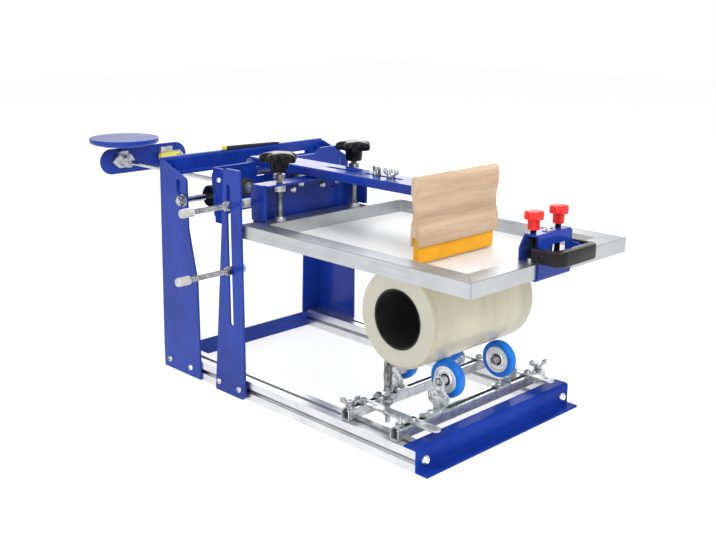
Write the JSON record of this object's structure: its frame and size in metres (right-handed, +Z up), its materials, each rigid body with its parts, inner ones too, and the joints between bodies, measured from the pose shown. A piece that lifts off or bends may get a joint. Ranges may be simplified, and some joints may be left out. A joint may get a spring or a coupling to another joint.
{
  "type": "cylindrical screen printing press",
  "caption": "Bench screen printing press for round ware: tilting head, sliding screen with counterweight, squeegee arm and a wheeled roll cradle on slotted rails.",
  "frame": {"origin": "centre of the front foot flange's underside, on the rest plane", "axes": "+X to the right seen from the operator's end, +Y rearwards along the rails, +Z up"},
  "size_m": [0.451, 0.9625, 0.368],
  "materials": {
    "blue_steel": "gloss powder coat",
    "aluminium": "satin",
    "zinc": "zinc plated",
    "chrome_rod": "ground",
    "black_plastic": "satin",
    "red_plastic": "gloss",
    "vinyl": "soft satin",
    "black_rubber": "matte",
    "yellow_plastic": "satin",
    "beech": "raw",
    "blade": "satin",
    "mesh": "woven",
    "blue_tyre": "gloss",
    "film": "satin",
    "core": "matte"
  },
  "bodies": {
    "base": {"rail_left": "aluminium", "rail_right": "aluminium", "front_plate": "blue_steel", "rear_bar": "blue_steel", "rear_post_left": "blue_steel", "rear_post_right": "blue_steel", "gantry_beam": "blue_steel", "stop_post": "blue_steel", "base_bolts": "zinc"},
    "stop_upper": {"stop_upper": "zinc"},
    "stop_lower": {"stop_lower": "zinc"},
    "head": {"pivot_shaft": "chrome_rod", "bearing_blocks": "blue_steel", "hub_discs": "black_plastic", "head_bridge": "blue_steel", "carriage_sides": "blue_steel"},
    "arm": {"squeegee_arm": "blue_steel", "arm_pin": "zinc"},
    "squeegee": {"squeegee_carrier": "zinc", "squeegee_wood": "beech", "squeegee_blade": "blade"},
    "wing_nut_1": {"wing_nut_1": "zinc"},
    "wing_nut_2": {"wing_nut_2": "zinc"},
    "screen_slide": {"guide_rods": "chrome_rod", "clamp_channel": "blue_steel", "tie_plate": "blue_steel", "rod_supports": "zinc", "rod_bumpers": "black_rubber", "rod_guard": "yellow_plastic", "counterweight": "blue_steel"},
    "frame": {"screen_frame": "aluminium", "screen_mesh": "mesh", "grip_bracket": "blue_steel", "pull_handle": "black_plastic", "handle_screws": "zinc"},
    "clamp_lift_l": {"clamp_foot_l": "zinc"},
    "clamp_turn_l": {"star_knob_l": "black_plastic"},
    "clamp_lift_r": {"clamp_foot_r": "zinc"},
    "clamp_turn_r": {"star_knob_r": "black_plastic"},
    "grip_lift_l": {"grip_pad_l": "zinc"},
    "grip_turn_l": {"grip_knob_l": "red_plastic"},
    "grip_lift_r": {"grip_pad_r": "zinc"},
    "grip_turn_r": {"grip_knob_r": "red_plastic"},
    "cradle": {"cross_rail_front": "zinc", "cross_rail_rear": "zinc", "side_links": "zinc", "cradle_bolts": "zinc", "end_post": "zinc"},
    "wing_screw_front": {"wing_screw_front": "zinc"},
    "wing_screw_rear": {"wing_screw_rear": "zinc"},
    "roll": {"roll_shell": "film", "roll_liner": "core"},
    "bracket_fl": {"bracket_fl": "zinc"},
    "wheel_fl": {"wheel_fl": "blue_tyre"},
    "bracket_fr": {"bracket_fr": "zinc"},
    "wheel_fr": {"wheel_fr": "blue_tyre"},
    "bracket_rl": {"bracket_rl": "zinc"},
    "wheel_rl": {"wheel_rl": "blue_tyre"},
    "bracket_rr": {"bracket_rr": "zinc"},
    "wheel_rr": {"wheel_rr": "blue_tyre"}
  },
  "joints": [
    {"name": "head_tilt", "type": "hinge", "parent": "base", "child": "head", "pos_m": [0, 0.493, 0.285], "axis": [-1, 0, 0], "range_deg": [-0.9, 12]},
    {"name": "arm_lift", "type": "hinge", "parent": "head", "child": "arm", "pos_m": [-0.02, 0.48, 0.332], "axis": [-1, 0, 0], "range_deg": [0, 35]},
    {"name": "squeegee_shift", "type": "slide", "parent": "arm", "child": "squeegee", "axis": [0, 1, 0], "range_m": [-0.018, 0.009]},
    {"name": "wing_nut_1_turn", "type": "hinge", "parent": "squeegee", "child": "wing_nut_1", "pos_m": [-0.02, 0.201, 0.345], "axis": [0, 0, 1], "range_deg": [0, 180]},
    {"name": "wing_nut_2_turn", "type": "hinge", "parent": "squeegee", "child": "wing_nut_2", "pos_m": [-0.02, 0.229, 0.345], "axis": [0, 0, 1], "range_deg": [0, 180]},
    {"name": "screen_travel", "type": "slide", "parent": "head", "child": "screen_slide", "axis": [0, 1, 0], "range_m": [-0.14, 0.001]},
    {"name": "frame_draw", "type": "slide", "parent": "screen_slide", "child": "frame", "axis": [0, -1, 0], "range_m": [0, 0.05]},
    {"name": "clamp_lift_l", "type": "slide", "parent": "screen_slide", "child": "clamp_lift_l", "axis": [0, 0, 1], "range_m": [0, 0.00901]},
    {"name": "clamp_turn_l", "type": "hinge", "parent": "clamp_lift_l", "child": "clamp_turn_l", "pos_m": [-0.106, 0.343, 0.341], "axis": [0, 0, 1], "range_deg": [0, 2160]},
    {"name": "clamp_lift_r", "type": "slide", "parent": "screen_slide", "child": "clamp_lift_r", "axis": [0, 0, 1], "range_m": [0, 0.00901]},
    {"name": "clamp_turn_r", "type": "hinge", "parent": "clamp_lift_r", "child": "clamp_turn_r", "pos_m": [0.046, 0.343, 0.341], "axis": [0, 0, 1], "range_deg": [0, 2160]},
    {"name": "grip_lift_l", "type": "slide", "parent": "frame", "child": "grip_lift_l", "axis": [0, 0, 1], "range_m": [0, 0.00626]},
    {"name": "grip_turn_l", "type": "hinge", "parent": "grip_lift_l", "child": "grip_turn_l", "pos_m": [-0.0335, -0.056, 0.31], "axis": [0, 0, 1], "range_deg": [0, 1800]},
    {"name": "grip_lift_r", "type": "slide", "parent": "frame", "child": "grip_lift_r", "axis": [0, 0, 1], "range_m": [0, 0.00626]},
    {"name": "grip_turn_r", "type": "hinge", "parent": "grip_lift_r", "child": "grip_turn_r", "pos_m": [0.02, -0.056, 0.31], "axis": [0, 0, 1], "range_deg": [0, 1800]},
    {"name": "stop_upper_shift", "type": "slide", "parent": "base", "child": "stop_upper", "axis": [0, 0, 1], "range_m": [-0.06, 0.01]},
    {"name": "stop_lower_shift", "type": "slide", "parent": "base", "child": "stop_lower", "axis": [0, 0, 1], "range_m": [-0.078, 0.02]},
    {"name": "cradle_shift", "type": "slide", "parent": "base", "child": "cradle", "axis": [0, 1, 0], "range_m": [-0.012, 0.1]},
    {"name": "wing_screw_front_turn", "type": "hinge", "parent": "cradle", "child": "wing_screw_front", "pos_m": [0.1524, 0.054, 0.049], "axis": [0, 0, 1], "range_deg": [0, 180]},
    {"name": "wing_screw_rear_turn", "type": "hinge", "parent": "cradle", "child": "wing_screw_rear", "pos_m": [-0.1524, 0.146, 0.049], "axis": [0, 0, 1], "range_deg": [0, 180]},
    {"name": "roll_spin", "type": "hinge", "parent": "cradle", "child": "roll", "pos_m": [0, 0.1, 0.17266], "axis": [1, 0, 0], "continuous": true},
    {"name": "bracket_fl_shift", "type": "slide", "parent": "cradle", "child": "bracket_fl", "axis": [1, 0, 0], "range_m": [-0.01, 0.03]},
    {"name": "wheel_fl_spin", "type": "hinge", "parent": "bracket_fl", "child": "wheel_fl", "pos_m": [-0.057, 0.054, 0.088], "axis": [1, 0, 0], "continuous": true},
    {"name": "bracket_fr_shift", "type": "slide", "parent": "cradle", "child": "bracket_fr", "axis": [1, 0, 0], "range_m": [-0.03, 0.035]},
    {"name": "wheel_fr_spin", "type": "hinge", "parent": "bracket_fr", "child": "wheel_fr", "pos_m": [0.0555, 0.054, 0.088], "axis": [1, 0, 0], "continuous": true},
    {"name": "bracket_rl_shift", "type": "slide", "parent": "cradle", "child": "bracket_rl", "axis": [1, 0, 0], "range_m": [-0.01, 0.03]},
    {"name": "wheel_rl_spin", "type": "hinge", "parent": "bracket_rl", "child": "wheel_rl", "pos_m": [-0.049, 0.146, 0.088], "axis": [1, 0, 0], "continuous": true},
    {"name": "bracket_rr_shift", "type": "slide", "parent": "cradle", "child": "bracket_rr", "axis": [1, 0, 0], "range_m": [-0.03, 0.04]},
    {"name": "wheel_rr_spin", "type": "hinge", "parent": "bracket_rr", "child": "wheel_rr", "pos_m": [0.051, 0.146, 0.088], "axis": [1, 0, 0], "continuous": true}
  ],
  "couplings": [
    {"joint": "wheel_fl_spin", "follows": "roll_spin", "ratio": -2.5556},
    {"joint": "wheel_fr_spin", "follows": "roll_spin", "ratio": -2.5556},
    {"joint": "wheel_rl_spin", "follows": "roll_spin", "ratio": -2.5556},
    {"joint": "wheel_rr_spin", "follows": "roll_spin", "ratio": -2.5556},
    {"joint": "clamp_lift_l", "follows": "clamp_turn_l", "m_per_rad": 0.00023873},
    {"joint": "grip_lift_l", "follows": "grip_turn_l", "m_per_rad": 0.00019894},
    {"joint": "clamp_lift_r", "follows": "clamp_turn_r", "m_per_rad": 0.00023873},
    {"joint": "grip_lift_r", "follows": "grip_turn_r", "m_per_rad": 0.00019894}
  ]
}
